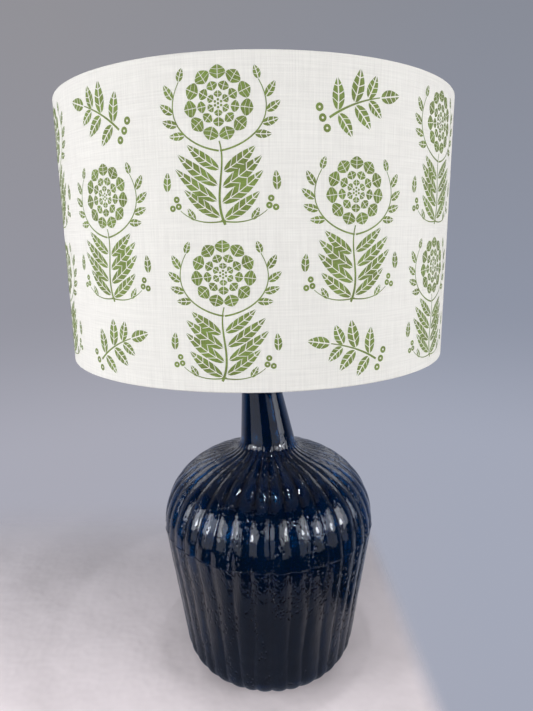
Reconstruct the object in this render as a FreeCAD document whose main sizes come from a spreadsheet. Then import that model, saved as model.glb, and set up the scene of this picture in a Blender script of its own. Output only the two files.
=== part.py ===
import FreeCAD, Part
import Sketcher
import math
import os
import re

# Table lamp: a ribbed glass bottle, a lampholder on its neck, and a drum shade.
# Millimetres, +Z up. The origin is on the floor, under the axis of shade and lampholder.

SIZES = {
    # glass bottle: radii of its outline, and the rise from each to the next, from the floor up
    "foot_radius": 62.5,
    "heel_radius": 104.3,
    "heel_height": 40,
    "belly_radius": 125.3,
    "wall_height": 150,
    "shoulder_radius": 60,
    "shoulder_rise": 81.5,
    "root_radius": 31.8,
    "root_rise": 19.5,
    "mouth_radius": 20.5,
    "neck_length": 85,
    "lip_bead": 2.2,
    "neck_lean": 9,
    "glass_wall": 5,
    "floor_thickness": 6,
    "rib_count": 36,
    "rib_depth": 2,
    "punt_radius": 46,
    "punt_rise": 8,
    # clear feet under the bottle
    "pad_radius": 5,
    "pad_height": 1.5,
    "pad_circle": 54,
    # stopper and threaded tube in the neck
    "bung_length": 24,
    "bung_gap": 0.3,
    "washer_radius": 12,
    "washer_height": 1.6,
    "nut_flats": 15,
    "nut_height": 4,
    "tube_radius": 4.9,
    "tube_bore": 3.9,
    "tube_tail": 6,
    "thread_gap": 0.1,
    "gasket_height": 1.5,
    # metal cap over the mouth, and the collar that the flex enters
    "cap_wall": 1,
    "cap_drop": 10,
    "cap_gap": 0.7,
    "cap_bevel": 0.6,
    "collar_radius": 12,
    "collar_height": 18,
    "collar_wall": 4,
    "chamber_radius": 8.5,
    "bush_bore": 3.6,
    "bush_wall": 1.4,
    "bush_flange": 1.8,
    "bush_lip": 1.5,
    # lampholder
    "holder_height": 20,
    "holder_floor": 4,
    "holder_wall": 3,
    "holder_bevel": 5,
    "spigot_wall": 1.2,
    "spigot_height": 5,
    "core_sink": 6,
    "core_height": 7,
    "part_gap": 0.2,
    "skirt_radius": 20,
    "skirt_wall": 2,
    "skirt_step": 1.5,
    "skirt_height": 28,
    "skirt_mouth": 15,
    "flange_offset": 4,
    "flange_height": 2.2,
    "flange_width": 5,
    "shell_bore": 13.4,
    "shell_wall": 0.5,
    "shell_height": 23.5,
    "shell_eye": 7.5,
    "contact_rise": 3.5,
    "contact_width": 5,
    "contact_sheet": 0.5,
    "screw_radius": 1.6,
    "screw_head": 2.6,
    "screw_cheese": 2.2,
    "screw_circle": 9.5,
    # push-bar switch through the lampholder
    "bar_radius": 2.6,
    "bar_drop": 11.5,
    "bar_gap": 0.3,
    "bar_rest": 3,
    "bar_travel": 5,
    "bar_bevel": 0.8,
    # ring that locks the shade on the lampholder
    "lock_height": 7,
    "lock_wall": 6.7,
    "lock_gap": 0.3,
    "grip_count": 12,
    "grip_radius": 2.5,
    "seat_gap": 0.1,
    # drum shade
    "shade_radius": 200,
    "shade_height": 250,
    "shade_recess": 23.8,
    "fabric_thickness": 0.6,
    "liner_thickness": 0.5,
    "glue_gap": 0.1,
    "wire_radius": 1.5,
    "spider_plate": 1.6,
    "spider_rim": 3,
    "arm_count": 3,
    "arm_radius": 1.4,
    "arm_level": 120,
    "arm_bend": 40,
    # lamp bulb with a 27 mm screw cap
    "bulb_radius": 30,
    "bulb_length": 109,
    "globe_drop": 11,
    "bulb_throat": 14.2,
    "throat_height": 6,
    "thread_radius": 13.1,
    "thread_height": 19,
    "thread_crest": 3.4,
    "tip_radius": 4.6,
    "tip_height": 1,
    "bead_height": 2.6,
}

doc = FreeCAD.newDocument("TableLamp")
sheet = doc.addObject("Spreadsheet::Sheet", "Sizes")
for row, (alias, size) in enumerate(SIZES.items(), start=1):
    sheet.set(f"A{row}", alias)
    sheet.set(f"B{row}", str(size))
    sheet.setAlias(f"B{row}", alias)
doc.recompute()

nodes = []


def bound(text):
    """The text with each size's name led by the sheet's, as an expression needs it."""
    return re.sub(r"[a-z]\w*", lambda name: f"Sizes.{name[0]}" if name[0] in SIZES else name[0], str(text))


def value(text):
    """The number that an expression in the sizes gives."""
    return float(sheet.evalExpression(bound(text)))


def bind(thing, **sizes):
    """Ties properties to expressions: Height="lip_bead", or Placement__Base__z for a place."""
    for name, text in sizes.items():
        thing.setExpression(name.replace("__", "."), bound(text))


def node(thing, label):
    """Names a finished sub-part and puts it on the list of what is written."""
    thing.Label = label
    nodes.append(thing)
    return thing


# ---- heights, each from the piece that it stands on ----

belly_height = "heel_height + wall_height"
shoulder_height = f"{belly_height} + shoulder_rise"
root_height = f"{shoulder_height} + root_rise"
mouth_height = f"{root_height} + neck_length"
gasket_top = f"{mouth_height} + gasket_height"
cap_top = f"{gasket_top} + cap_wall"
collar_foot = f"{cap_top} + nut_height"
collar_top = f"{collar_foot} + collar_height"
collar_middle = f"{collar_foot} + collar_height / 2"
base_rim = f"{collar_top} + holder_height"
base_floor = f"{collar_top} + holder_floor"
bar_level = f"{base_rim} - bar_drop"
core_seat = f"{base_rim} - core_sink"
core_top = f"{core_seat} + core_height"
flange_foot = f"{base_rim} + flange_offset"
flange_top = f"{flange_foot} + flange_height"
spider_seat = f"{flange_top} + seat_gap"
spider_top = f"{spider_seat} + spider_plate"
lock_seat = f"{spider_top} + seat_gap"
skirt_top = f"{base_rim} + skirt_height"
shade_foot = f"{spider_seat} - shade_recess"
shade_top = f"{shade_foot} + shade_height"
tip_foot = f"{core_top} + contact_rise"
bung_foot = f"{mouth_height} - bung_length"

# ---- radii that fit one piece to another ----

tube_hole = "tube_radius + thread_gap"
neck_bore = "mouth_radius - glass_wall"
cap_bore = "mouth_radius + lip_bead + cap_gap"
holder_radius = "skirt_radius - skirt_step"
base_bore = f"{holder_radius} - holder_wall"
spigot_radius = "skirt_radius - skirt_wall - part_gap"
spigot_bore = f"{spigot_radius} - spigot_wall"
flange_radius = "skirt_radius + flange_width"
lock_bore = "skirt_radius + lock_gap"
lock_radius = f"{lock_bore} + lock_wall"
spider_radius = f"{lock_radius} + spider_rim"
bar_hole = "bar_radius + bar_gap"
bush_radius = "bush_bore + bush_wall"
liner_outside = "shade_radius - fabric_thickness - glue_gap"
wire_circle = f"{liner_outside} - liner_thickness - glue_gap - wire_radius"
wire_inset = "fabric_thickness + wire_radius"


# ---- ways of making a piece ----

def plane(body, role):
    """One of a body's own three origin planes."""
    return next(feature for feature in body.Origin.OriginFeatures if feature.Role == role)


def sketch_on(body, role, name, offset=None):
    """A new sketch on an origin plane, moved along the plane's normal by an expression."""
    sketch = body.newObject("Sketcher::SketchObject", name)
    sketch.AttachmentSupport = [(plane(body, role), "")]
    sketch.MapMode = "FlatFace"
    if offset is not None:
        bind(sketch, AttachmentOffset__Base__z=offset)
    return sketch


def place_point(sketch, geometry, end, across, up):
    """Ties one end of a line or arc to a place in the sketch, both its distances bound."""
    for kind, text in (("DistanceX", across), ("DistanceY", up)):
        index = sketch.addConstraint(Sketcher.Constraint(kind, -1, 1, geometry, end, value(text)))
        sketch.setExpression(f"Constraints[{index}]", bound(text))


def arc_between(start, end, radius):
    """The shorter arc from start to end that bends to the right on its way."""
    chord = end - start
    half = chord.Length / 2
    right = FreeCAD.Vector(chord.y, -chord.x, 0).normalize()
    centre = (start + end) / 2 + right * math.sqrt(max(radius * radius - half * half, 0))
    circle = Part.Circle(centre, FreeCAD.Vector(0, 0, 1), radius)
    return Part.ArcOfCircle(circle, circle.parameter(end), circle.parameter(start))


def draw(sketch, outline):
    """Draws a closed outline of straight lines through points given as (across, up)."""
    spots = [FreeCAD.Vector(value(across), value(up), 0) for across, up in outline]
    for index, spot in enumerate(spots):
        sketch.addGeometry(Part.LineSegment(spot, spots[(index + 1) % len(spots)]))
    for index, (across, up) in enumerate(outline):
        sketch.addConstraint(Sketcher.Constraint("Coincident", (index - 1) % len(outline), 2, index, 1))
        place_point(sketch, index, 1, across, up)


def turn(label, outline):
    """A body turned about the vertical axis from the outline of one side."""
    body = node(doc.addObject("PartDesign::Body", label), label)
    sketch = sketch_on(body, "XZ_Plane", f"{label}_outline")
    draw(sketch, outline)
    turning = body.newObject("PartDesign::Revolution", f"{label}_turning")
    turning.Profile = sketch
    turning.ReferenceAxis = (sketch, ["V_Axis"])
    turning.Angle = 360
    doc.recompute()
    return body


def cut_circle(body, role, name, across, up, radius, depth, both_ways=False):
    """A round pocket from an origin plane, checked to take some of the body away."""
    before = body.Shape.Volume
    sketch = sketch_on(body, role, f"{name}_circle")
    circle = Part.Circle(FreeCAD.Vector(value(across), value(up), 0), FreeCAD.Vector(0, 0, 1), value(radius))
    sketch.addGeometry(circle)
    place_point(sketch, 0, 3, across, up)
    size = sketch.addConstraint(Sketcher.Constraint("Radius", 0, value(radius)))
    sketch.setExpression(f"Constraints[{size}]", bound(radius))
    pocket = body.newObject("PartDesign::Pocket", name)
    pocket.Profile = sketch
    pocket.Midplane = both_ways
    bind(pocket, Length=depth)
    doc.recompute()
    if body.Shape.Volume > before - 1e-6:
        pocket.Reversed = True
        doc.recompute()
    if body.Shape.Volume > before - 1e-6:
        raise RuntimeError(f"{name} cuts nothing")
    return pocket


def around(body, feature, count):
    """The feature repeated evenly about the vertical axis."""
    pattern = body.newObject("PartDesign::PolarPattern", f"{feature.Name}_pattern")
    pattern.Originals = [feature]
    pattern.Axis = (plane(body, "Z_Axis"), [""])
    pattern.Angle = 360
    bind(pattern, Occurrences=count)
    body.Tip = pattern
    doc.recompute()


def primitive(kind, name, **sizes):
    """A Part primitive with its sizes and place bound."""
    thing = doc.addObject(f"Part::{kind}", name)
    bind(thing, **sizes)
    return thing


def cut(label, base, *tools):
    """The base less each tool, as Part::Cut objects in a row."""
    for index, tool in enumerate(tools, start=1):
        result = doc.addObject("Part::Cut", f"{label}_cut{index}")
        result.Base = base
        result.Tool = tool
        base = result
    return base


def group(label, things):
    """Separate solids that share one node."""
    compound = doc.addObject("Part::Compound", label)
    compound.Links = things
    return node(compound, label)


# ---- glass bottle ----

rib_flats = 4
foot_pitch = math.radians(20)
shoulder_pitch = math.radians(16.7)
foot_pull, heel_pull = 0.54, 0.52
belly_pull, shoulder_pull = 0.47, 0.7
hollow_pull, root_pull = 0.61, 0.57


def away(point, pitch, length):
    """The (radius, height) at a length from a point, at a pitch above the level outward direction."""
    return (point[0] + length * math.cos(pitch), point[1] + length * math.sin(pitch))


def profile_curves():
    """Poles of the Bezier curves that make the crest line of a rib, from the floor up: a rounded heel, a
    straight wall that widens to the belly, a full shoulder, and the hollow at the root of the neck."""
    foot = (value("foot_radius"), value("pad_height"))
    heel = (value("heel_radius"), value("heel_height"))
    belly = (value("belly_radius"), value(belly_height))
    shoulder = (value("shoulder_radius"), value(shoulder_height))
    root = (value("root_radius"), value(root_height))
    mouth = (value("mouth_radius"), value(mouth_height))
    wall_pitch = math.atan2(belly[1] - heel[1], belly[0] - heel[0])
    neck_pitch = math.atan2(mouth[1] - root[1], mouth[0] - root[0])
    return [
        [foot, away(foot, foot_pitch, foot_pull * (heel[0] - foot[0])),
         away(heel, wall_pitch, -heel_pull * (heel[1] - foot[1])), heel],
        [heel, belly],
        [belly, away(belly, math.pi / 2, belly_pull * (shoulder[1] - belly[1])),
         away(shoulder, -shoulder_pitch, shoulder_pull * (belly[0] - shoulder[0])), shoulder],
        [shoulder, away(shoulder, math.pi - shoulder_pitch, hollow_pull * (shoulder[0] - root[0])),
         away(root, neck_pitch, -root_pull * (root[1] - shoulder[1])), root],
    ]


def along(poles, share):
    """The (radius, height) at a share of a profile curve."""
    curve = Part.BezierCurve()
    curve.setPoles([FreeCAD.Vector(radius, 0, height) for radius, height in poles])
    point = curve.value(share)
    return (point.x, point.z)


def inset(poles, share):
    """The (radius, height) at a share of a profile curve, moved square to it into the glass by the wall."""
    curve = Part.BezierCurve()
    curve.setPoles([FreeCAD.Vector(radius, 0, height) for radius, height in poles])
    way = curve.tangent(share)[0]
    point = curve.value(share) + FreeCAD.Vector(-way.z, 0, way.x) * value("glass_wall")
    return (point.x, point.z)


def lean_at(height):
    """How far the glass has leaned back along X, from none at the neck's root to all at its mouth."""
    root = value(root_height)
    share = (height - root) / (value(mouth_height) - root)
    return -value("neck_lean") * max(share, 0)


def glass_ring(radius, height, depth, flats):
    """A level outline of the glass: each rib is a parabola of so many flats between its two grooves."""
    ribs = round(value("rib_count"))
    centre = FreeCAD.Vector(lean_at(height), 0, height)
    points = []
    for index in range(ribs * flats):
        across = 2 * (index % flats) / flats - 1
        angle = math.radians(360 * index / (ribs * flats))
        reach = radius - depth * across ** 2
        points.append(centre + FreeCAD.Vector(math.cos(angle), math.sin(angle), 0) * reach)
    return points


def panel(a, b, c, d):
    """The flat face between four corners, or two where they don't lie in one plane."""
    normal = (b - a).cross(d - a).normalize()
    if abs((c - a).dot(normal)) < 1e-9:
        corners = [[a, b, c, d]]
    else:
        corners = [[a, b, c], [a, c, d]]
    return [Part.Face(Part.makePolygon(face + face[:1])) for face in corners]


def skin(rings):
    """A closed solid of flat panels through level rings of points, from the lowest up."""
    faces = [Part.Face(Part.makePolygon(end + end[:1])) for end in (rings[0], rings[-1])]
    for low, high in zip(rings, rings[1:]):
        for index in range(len(low)):
            after = (index + 1) % len(low)
            faces += panel(low[index], low[after], high[after], high[index])
    solid = Part.Solid(Part.Shell(faces))
    if solid.Volume < 0:
        solid.reverse()
    return solid


def glass_outside(curves):
    """Ribs from the foot to the root of the neck, where they run out, then a plain neck with a beaded lip."""
    heel, wall, shoulder, root = curves
    bead, mouth, top = value("lip_bead"), value("mouth_radius"), value(mouth_height)
    ribbed = [along(heel, share) for share in (0, 0.3, 0.6, 1)] + [along(wall, 1)]
    ribbed += [along(shoulder, share) for share in (0.25, 0.45, 0.62, 0.8, 1)]
    ribbed += [along(root, share) for share in (0.4, 0.7)]
    groove = value("rib_depth") / value("belly_radius")
    rows = [(radius, height, groove * radius) for radius, height in ribbed]
    plain = [along(root, 1), (mouth, top - 3 * bead), (mouth + bead, top - 2 * bead),
             (mouth + bead, top - bead), (mouth, top)]
    rows += [(radius, height, 0) for radius, height in plain]
    return skin([glass_ring(*row, rib_flats) for row in rows])


def glass_inside(curves):
    """The hollow: a wall inside the profile, over a thick floor, and out through the mouth."""
    heel, wall, shoulder, root = curves
    floor = value("pad_height + punt_rise + floor_thickness")
    thickness = value("glass_wall")
    points = [(inset(heel, 0.5)[0], floor), inset(wall, 0), inset(wall, 1)]
    points += [inset(shoulder, share) for share in (0.4, 0.7, 1)] + [inset(root, 0.5)]
    points += [(root[-1][0] - thickness, root[-1][1]), (value("mouth_radius") - thickness, value(mouth_height))]
    return skin([glass_ring(radius, height, 0, 1) for radius, height in points])


def glass_bottle():
    curves = profile_curves()
    foot, rise = value("pad_height"), value("punt_rise")
    punt = Part.makeCone(value("punt_radius"), value("punt_radius") / 2, rise, FreeCAD.Vector(0, 0, foot))
    glass = glass_outside(curves).cut(glass_inside(curves)).cut(punt)
    bottle = node(doc.addObject("Part::Feature", "glass_bottle"), "glass_bottle")
    bottle.Shape = glass.Solids[0]
    bind(bottle, Placement__Base__x="neck_lean")


def foot_pads():
    pads = []
    for index in range(4):
        angle = 45 + 90 * index
        pads.append(primitive(
            "Cylinder", f"foot_pad_{index + 1}", Radius="pad_radius", Height="pad_height",
            Placement__Base__x=f"neck_lean + pad_circle * cos({angle} deg)",
            Placement__Base__y=f"pad_circle * sin({angle} deg)"))
    group("foot_pads", pads)


# ---- stopper, tube and cap on the neck ----

def neck_bung():
    bung_radius = f"{neck_bore} - bung_gap"
    turn("neck_bung", [
        (tube_hole, bung_foot),
        (bung_radius, bung_foot),
        (bung_radius, mouth_height),
        (tube_hole, mouth_height),
    ])


def bung_washer():
    washer_foot = f"{bung_foot} - washer_height"
    turn("bung_washer", [
        (tube_hole, washer_foot),
        ("washer_radius", washer_foot),
        ("washer_radius", bung_foot),
        (tube_hole, bung_foot),
    ])


def hexagon_nut(label, foot):
    """A six-sided nut round the threaded tube."""
    blank = primitive("Prism", f"{label}_blank", Circumradius="nut_flats / 2 / cos(30 deg)",
                      Height="nut_height", Placement__Base__z=foot)
    blank.Polygon = 6
    hole = primitive("Cylinder", f"{label}_hole", Radius=tube_hole, Height="nut_height",
                     Placement__Base__z=foot)
    node(cut(label, blank, hole), label)


def threaded_tube(label, foot, top):
    turn(label, [
        ("tube_bore", foot),
        ("tube_radius", foot),
        ("tube_radius", top),
        ("tube_bore", top),
    ])


def neck_gasket():
    turn("neck_gasket", [
        (neck_bore, mouth_height),
        ("mouth_radius", mouth_height),
        ("mouth_radius", gasket_top),
        (neck_bore, gasket_top),
    ])


def neck_cap():
    """Spun cap: a flat crown, a bevelled corner and a skirt round the glass lip."""
    outside = f"{cap_bore} + cap_wall"
    skirt_foot = f"{gasket_top} - cap_drop"
    turn("neck_cap", [
        (tube_hole, gasket_top),
        (cap_bore, gasket_top),
        (cap_bore, skirt_foot),
        (outside, skirt_foot),
        (outside, f"{cap_top} - cap_bevel"),
        (f"{outside} - cap_bevel", cap_top),
        (tube_hole, cap_top),
    ])


def entry_collar():
    """Collar between cap and lampholder. The flex comes in at its back and turns up inside it."""
    chamber_foot = f"{collar_foot} + collar_wall"
    chamber_top = f"{collar_top} - collar_wall"
    collar = turn("entry_collar", [
        (tube_hole, collar_foot),
        ("collar_radius", collar_foot),
        ("collar_radius", collar_top),
        (tube_hole, collar_top),
        (tube_hole, chamber_top),
        ("chamber_radius", chamber_top),
        ("chamber_radius", chamber_foot),
        (tube_hole, chamber_foot),
    ])
    cut_circle(collar, "XZ_Plane", "entry_hole", "0", collar_middle, f"{bush_radius} + part_gap",
               "collar_radius + 1")


def cord_bush():
    """Round bush that guides the flex into the collar, lying along +Y with its lip outside."""
    bush = turn("cord_bush", [
        ("bush_bore", "chamber_radius"),
        (bush_radius, "chamber_radius"),
        (bush_radius, "collar_radius + part_gap"),
        (f"{bush_radius} + bush_flange", "collar_radius + part_gap"),
        (f"{bush_radius} + bush_flange", "collar_radius + part_gap + bush_lip"),
        ("bush_bore", "collar_radius + part_gap + bush_lip"),
    ])
    bush.Placement = FreeCAD.Placement(FreeCAD.Vector(), FreeCAD.Rotation(FreeCAD.Vector(1, 0, 0), -90))
    bind(bush, Placement__Base__z=collar_middle)


# ---- lampholder ----

def holder_base():
    """Lower half of the lampholder: a bevelled cup with a ledge for the core, a spigot for the skirt, and
    two holes for the switch bar."""
    holder = turn("holder_base", [
        (tube_hole, collar_top),
        (f"{holder_radius} - holder_bevel", collar_top),
        (holder_radius, f"{collar_top} + holder_bevel"),
        (holder_radius, base_rim),
        (spigot_radius, base_rim),
        (spigot_radius, f"{base_rim} + spigot_height"),
        (spigot_bore, f"{base_rim} + spigot_height"),
        (spigot_bore, core_seat),
        (base_bore, core_seat),
        (base_bore, base_floor),
        (tube_hole, base_floor),
    ])
    cut_circle(holder, "YZ_Plane", "bar_holes", "0", bar_level, bar_hole, f"3 * ({holder_radius})", True)


def holder_core():
    """Insulating core that carries the contacts, with a hole for each terminal screw."""
    core_radius = f"{spigot_bore} - part_gap"
    core = turn("holder_core", [
        ("0", core_seat),
        (core_radius, core_seat),
        (core_radius, core_top),
        ("0", core_top),
    ])
    for side, across in (("front", "-screw_circle"), ("back", "screw_circle")):
        cut_circle(core, "XY_Plane", f"screw_hole_{side}", "0", across, "screw_radius + part_gap",
                   f"{core_top} + 1")


def terminal_screws():
    """Two slotted screws, heads down under the core."""
    screws = []
    head_foot = f"{core_seat} - screw_cheese"
    for index, side in enumerate(("", "-")):
        row = f"{side}screw_circle"
        head = primitive("Cylinder", f"screw_head_{index}", Radius="screw_head", Height="screw_cheese",
                         Placement__Base__y=row, Placement__Base__z=head_foot)
        shank = primitive("Cylinder", f"screw_shank_{index}", Radius="screw_radius",
                          Height="screw_cheese + core_height / 2",
                          Placement__Base__y=row, Placement__Base__z=head_foot)
        whole = doc.addObject("Part::Fuse", f"screw_{index}")
        whole.Base = head
        whole.Tool = shank
        slot = primitive("Box", f"screw_slot_{index}", Length="3 * screw_head", Width="screw_head / 4",
                         Height="screw_cheese / 3", Placement__Base__x="-1.5 * screw_head",
                         Placement__Base__y=f"{row} - screw_head / 8", Placement__Base__z=head_foot)
        screws.append(cut(f"screw_slotted_{index}", whole, slot))
    group("terminal_screws", screws)


def strip(label, outline, width):
    """A bent metal strip: its edge outline in the XZ plane, padded evenly to both sides."""
    body = node(doc.addObject("PartDesign::Body", label), label)
    sketch = sketch_on(body, "XZ_Plane", f"{label}_edge")
    draw(sketch, outline)
    pad = body.newObject("PartDesign::Pad", f"{label}_width")
    pad.Profile = sketch
    pad.Midplane = True
    bind(pad, Length=width)
    doc.recompute()
    return body


def centre_contact():
    """Spring tongue on the core that the bulb's tip presses on."""
    reach = "shell_eye - 1"
    top = f"{tip_foot} - part_gap"
    strip("centre_contact", [
        (f"-({reach})", core_top),
        ("0", core_top),
        (reach, f"{top} - contact_sheet"),
        (reach, top),
        ("-contact_sheet", f"{core_top} + contact_sheet"),
        (f"-({reach})", f"{core_top} + contact_sheet"),
    ], "contact_width")


def switch_leaf():
    """Leaf under the core that the switch bar works against."""
    leaf_foot = f"{bar_level} + bar_radius + bar_gap"
    strip("switch_leaf", [
        ("-screw_circle", f"{core_seat} - contact_sheet"),
        ("-contact_width", f"{core_seat} - contact_sheet"),
        ("0", leaf_foot),
        ("contact_width", leaf_foot),
        ("contact_width", f"{leaf_foot} + contact_sheet"),
        ("contact_sheet", f"{leaf_foot} + contact_sheet"),
        ("contact_sheet - contact_width", core_seat),
        ("-screw_circle", core_seat),
    ], "contact_width")


def screw_shell():
    """Thin shell that takes the bulb's thread, with an eye in its floor for the tongue."""
    outside = "shell_bore + shell_wall"
    turn("screw_shell", [
        ("shell_eye", core_top),
        (outside, core_top),
        (outside, f"{core_top} + shell_height"),
        ("shell_bore", f"{core_top} + shell_height"),
        ("shell_bore", f"{core_top} + shell_wall"),
        ("shell_eye", f"{core_top} + shell_wall"),
    ])


def holder_skirt():
    """Outer skirt: a flange that the shade sits on, a threaded barrel, and a mouth round the bulb's cap."""
    bore = "skirt_radius - skirt_wall"
    turn("holder_skirt", [
        (bore, base_rim),
        ("skirt_radius", base_rim),
        ("skirt_radius", flange_foot),
        (flange_radius, flange_foot),
        (flange_radius, flange_top),
        ("skirt_radius", flange_top),
        ("skirt_radius", skirt_top),
        ("skirt_mouth", skirt_top),
        ("skirt_mouth", f"{skirt_top} - skirt_wall"),
        (bore, f"{skirt_top} - skirt_wall"),
    ])


def switch_bar():
    """Bar along X through the lampholder, proud at one end by its travel more than at the other."""
    low = f"-({holder_radius} + bar_rest)"
    high = f"{holder_radius} + bar_rest + bar_travel"
    bar = turn("switch_bar", [
        ("0", low),
        ("bar_radius - bar_bevel", low),
        ("bar_radius", f"{low} + bar_bevel"),
        ("bar_radius", f"{high} - bar_bevel"),
        ("bar_radius - bar_bevel", high),
        ("0", high),
    ])
    bar.Placement = FreeCAD.Placement(FreeCAD.Vector(), FreeCAD.Rotation(FreeCAD.Vector(0, 1, 0), 90))
    bind(bar, Placement__Base__z=bar_level)


def shade_lock_ring():
    """Ring that screws down on the spider, with finger grips round its rim."""
    top = f"{lock_seat} + lock_height"
    ring = turn("shade_lock_ring", [
        (lock_bore, lock_seat),
        (lock_radius, lock_seat),
        (lock_radius, top),
        (lock_bore, top),
    ])
    grip = cut_circle(ring, "XY_Plane", "finger_grip", f"{lock_radius} + grip_radius / 2", "0", "grip_radius",
                      f"{top} + 1")
    around(ring, grip, "grip_count")


# ---- drum shade ----

def tube_wall(label, outside, thickness, inset):
    """A straight upright tube, as tall as the shade less an inset at both edges."""
    foot, top = f"{shade_foot} + {inset}", f"{shade_top} - {inset}"
    turn(label, [
        (f"{outside} - {thickness}", foot),
        (outside, foot),
        (outside, top),
        (f"{outside} - {thickness}", top),
    ])


def round_wire(across, up, radius):
    """Corners of the six flats that stand for a wire's round section."""
    angles = [f"{60 * index + 30} deg" for index in range(6)]
    return [(f"{across} + {radius} * cos({angle})", f"{up} + {radius} * sin({angle})") for angle in angles]


def shade_spider():
    """Plate that sits on the lampholder's flange, with round arms that run level and then dip to the
    shade's bottom ring."""
    level = f"{spider_top} - arm_radius"
    root = f"{spider_radius} - arm_radius"
    ring_face = f"{wire_circle} - wire_radius - glue_gap - arm_radius / 2"
    ring_level = f"{shade_foot} + {wire_inset}"
    body = turn("shade_spider", [
        (lock_bore, spider_seat),
        (spider_radius, spider_seat),
        (spider_radius, spider_top),
        (lock_bore, spider_top),
    ])
    path = sketch_on(body, "XZ_Plane", "arm_path")
    start = FreeCAD.Vector(value(root), value(level), 0)
    bend = FreeCAD.Vector(start.x + value("arm_level"), start.y, 0)
    end = FreeCAD.Vector(value(ring_face), value(ring_level), 0)
    pitch = 1.3 * math.atan2(start.y - end.y, end.x - bend.x)
    after = bend + FreeCAD.Vector(math.sin(pitch), math.cos(pitch) - 1, 0) * value("arm_bend")
    path.addGeometry(Part.LineSegment(start, bend))
    path.addGeometry(arc_between(bend, after, value("arm_bend")))
    path.addGeometry(Part.LineSegment(after, end))
    path.addConstraint(Sketcher.Constraint("Tangent", 0, 2, 1, 2))
    path.addConstraint(Sketcher.Constraint("Tangent", 1, 1, 2, 1))
    path.addConstraint(Sketcher.Constraint("Horizontal", 0))
    place_point(path, 0, 1, root, level)
    place_point(path, 2, 2, ring_face, ring_level)
    for kind, geometry, text in (("Distance", 0, "arm_level"), ("Radius", 1, "arm_bend")):
        index = path.addConstraint(Sketcher.Constraint(kind, geometry, value(text)))
        path.setExpression(f"Constraints[{index}]", bound(text))
    section = sketch_on(body, "YZ_Plane", "arm_section", root)
    draw(section, round_wire("0", level, "arm_radius"))
    doc.recompute()
    arm = body.newObject("PartDesign::AdditivePipe", "arm")
    arm.Profile = section
    arm.Spine = path
    doc.recompute()
    around(body, arm, "arm_count")
    body.Placement = FreeCAD.Placement(FreeCAD.Vector(), FreeCAD.Rotation(FreeCAD.Vector(0, 0, 1), 90))


# ---- bulb ----

thread_foot = f"{tip_foot} + tip_height + bead_height"
thread_top = f"{thread_foot} + thread_height"
globe_centre = f"{tip_foot} + bulb_length - bulb_radius"
globe_joint = f"{globe_centre} - globe_drop"
joint_radius = "sqrt(bulb_radius^2 - globe_drop^2)"
bulb_flats = 40
globe_rows = 9
globe_pole = math.radians(88)


def plain_ring(radius, height):
    """A level outline of a round piece, in flats."""
    angles = [2 * math.pi * index / bulb_flats for index in range(bulb_flats)]
    return [FreeCAD.Vector(radius * math.cos(angle), radius * math.sin(angle), height) for angle in angles]


def shaped(label, rings):
    """A node of flat panels through level rings."""
    thing = node(doc.addObject("Part::Feature", label), label)
    thing.Shape = skin(rings)


def bulb():
    """Round bulb: opal globe, tapered body, screw cap, insulating bead and tip contact."""
    radius, middle = value("bulb_radius"), value(globe_centre)
    lowest = -math.asin(value("globe_drop") / radius)
    pitches = [lowest + (math.pi / 2 - lowest) * step / globe_rows for step in range(globe_rows)] + [globe_pole]
    shaped("bulb_globe", [
        plain_ring(radius * math.cos(pitch), middle + radius * math.sin(pitch)) for pitch in pitches])
    throat = value("bulb_throat")
    shaped("bulb_body", [
        plain_ring(throat, value(thread_top)),
        plain_ring(throat, value(f"{thread_top} + throat_height")),
        plain_ring(value(joint_radius), value(globe_joint)),
    ])
    turn("bulb_cap", [
        ("0", thread_foot),
        ("thread_radius - thread_crest", thread_foot),
        ("thread_radius", f"{thread_foot} + thread_crest"),
        ("thread_radius", thread_top),
        ("0", thread_top),
    ])
    turn("bulb_bead", [
        ("0", f"{tip_foot} + tip_height"),
        ("tip_radius", f"{tip_foot} + tip_height"),
        ("thread_radius - thread_crest", thread_foot),
        ("0", thread_foot),
    ])
    turn("bulb_tip", [
        ("0", tip_foot),
        ("tip_radius - tip_height", tip_foot),
        ("tip_radius", f"{tip_foot} + tip_height"),
        ("0", f"{tip_foot} + tip_height"),
    ])


# ---- the lamp ----

glass_bottle()
foot_pads()
neck_bung()
bung_washer()
hexagon_nut("bung_nut", f"{bung_foot} - washer_height - nut_height")
threaded_tube("stem_tube", f"{bung_foot} - washer_height - nut_height - tube_tail", f"{collar_foot} + collar_wall")
neck_gasket()
neck_cap()
hexagon_nut("cap_nut", cap_top)
entry_collar()
cord_bush()
threaded_tube("holder_nipple", f"{collar_top} - collar_wall", base_floor)
holder_base()
holder_core()
terminal_screws()
centre_contact()
switch_leaf()
screw_shell()
holder_skirt()
switch_bar()
shade_lock_ring()
tube_wall("shade_fabric", "shade_radius", "fabric_thickness", "0")
tube_wall("shade_liner", liner_outside, "liner_thickness", "fabric_thickness")
turn("top_ring", round_wire(wire_circle, f"{shade_top} - ({wire_inset})", "wire_radius"))
turn("bottom_ring", round_wire(wire_circle, f"{shade_foot} + {wire_inset}", "wire_radius"))
shade_spider()
bulb()

doc.recompute()
for thing in doc.Objects:
    if "Invalid" in thing.State or "Error" in thing.State:
        raise RuntimeError(f"{thing.Name}: {thing.State}")
os.makedirs("parts", exist_ok=True)
for thing in nodes:
    if thing.Shape.isNull() or not thing.Shape.isValid() or not thing.Shape.Solids:
        raise RuntimeError(f"{thing.Label} has no sound solid")
    thing.Shape.exportStep(f"parts/{thing.Label}.step")
    box = thing.Shape.BoundBox
    print(f"{thing.Label}: {len(thing.Shape.Solids)} solid, {thing.Shape.Volume:.0f} mm3,"
          f" z {box.ZMin:.2f} to {box.ZMax:.2f}")
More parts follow.
